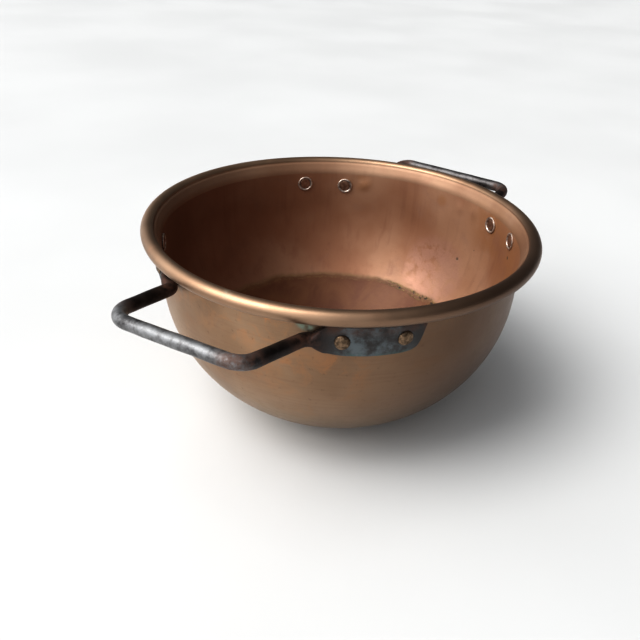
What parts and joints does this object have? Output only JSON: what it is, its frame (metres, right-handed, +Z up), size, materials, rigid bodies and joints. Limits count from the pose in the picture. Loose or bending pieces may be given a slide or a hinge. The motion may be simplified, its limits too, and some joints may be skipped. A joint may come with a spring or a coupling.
{
  "type": "copper mixing bowl",
  "caption": "Round copper mixing bowl with a wired rolled rim and riveted D-shaped iron rod handles on opposite sides.",
  "frame": {"origin": "middle of the flat base, at the lowest point of the bowl", "axes": "+Z up, out of the bowl's mouth; X across the two handles, with right_handle at +X and left_handle at -X; +Y to the back"},
  "size_m": [0.4019, 0.311, 0.163],
  "materials": {
    "copper": "aged brown copper with a satin patina",
    "wire_iron": "black iron wire",
    "handle_iron": "forged iron, worn dark grey with brown rust",
    "rivet_copper": "dull copper, hammered",
    "rove_copper": "copper, rubbed bright on the lip"
  },
  "bodies": {
    "root": {"bowl_shell": "copper", "rim_wire": "wire_iron", "left_handle": "handle_iron", "right_handle": "handle_iron", "rivet_left_front_root": "rivet_copper", "rivet_left_front_tip": "rivet_copper", "rivet_left_back_root": "rivet_copper", "rivet_left_back_tip": "rivet_copper", "rivet_right_front_root": "rivet_copper", "rivet_right_front_tip": "rivet_copper", "rivet_right_back_root": "rivet_copper", "rivet_right_back_tip": "rivet_copper", "rove_left_front_root": "rove_copper", "rove_left_front_tip": "rove_copper", "rove_left_back_root": "rove_copper", "rove_left_back_tip": "rove_copper", "rove_right_front_root": "rove_copper", "rove_right_front_tip": "rove_copper", "rove_right_back_root": "rove_copper", "rove_right_back_tip": "rove_copper"}
  },
  "joints": []
}
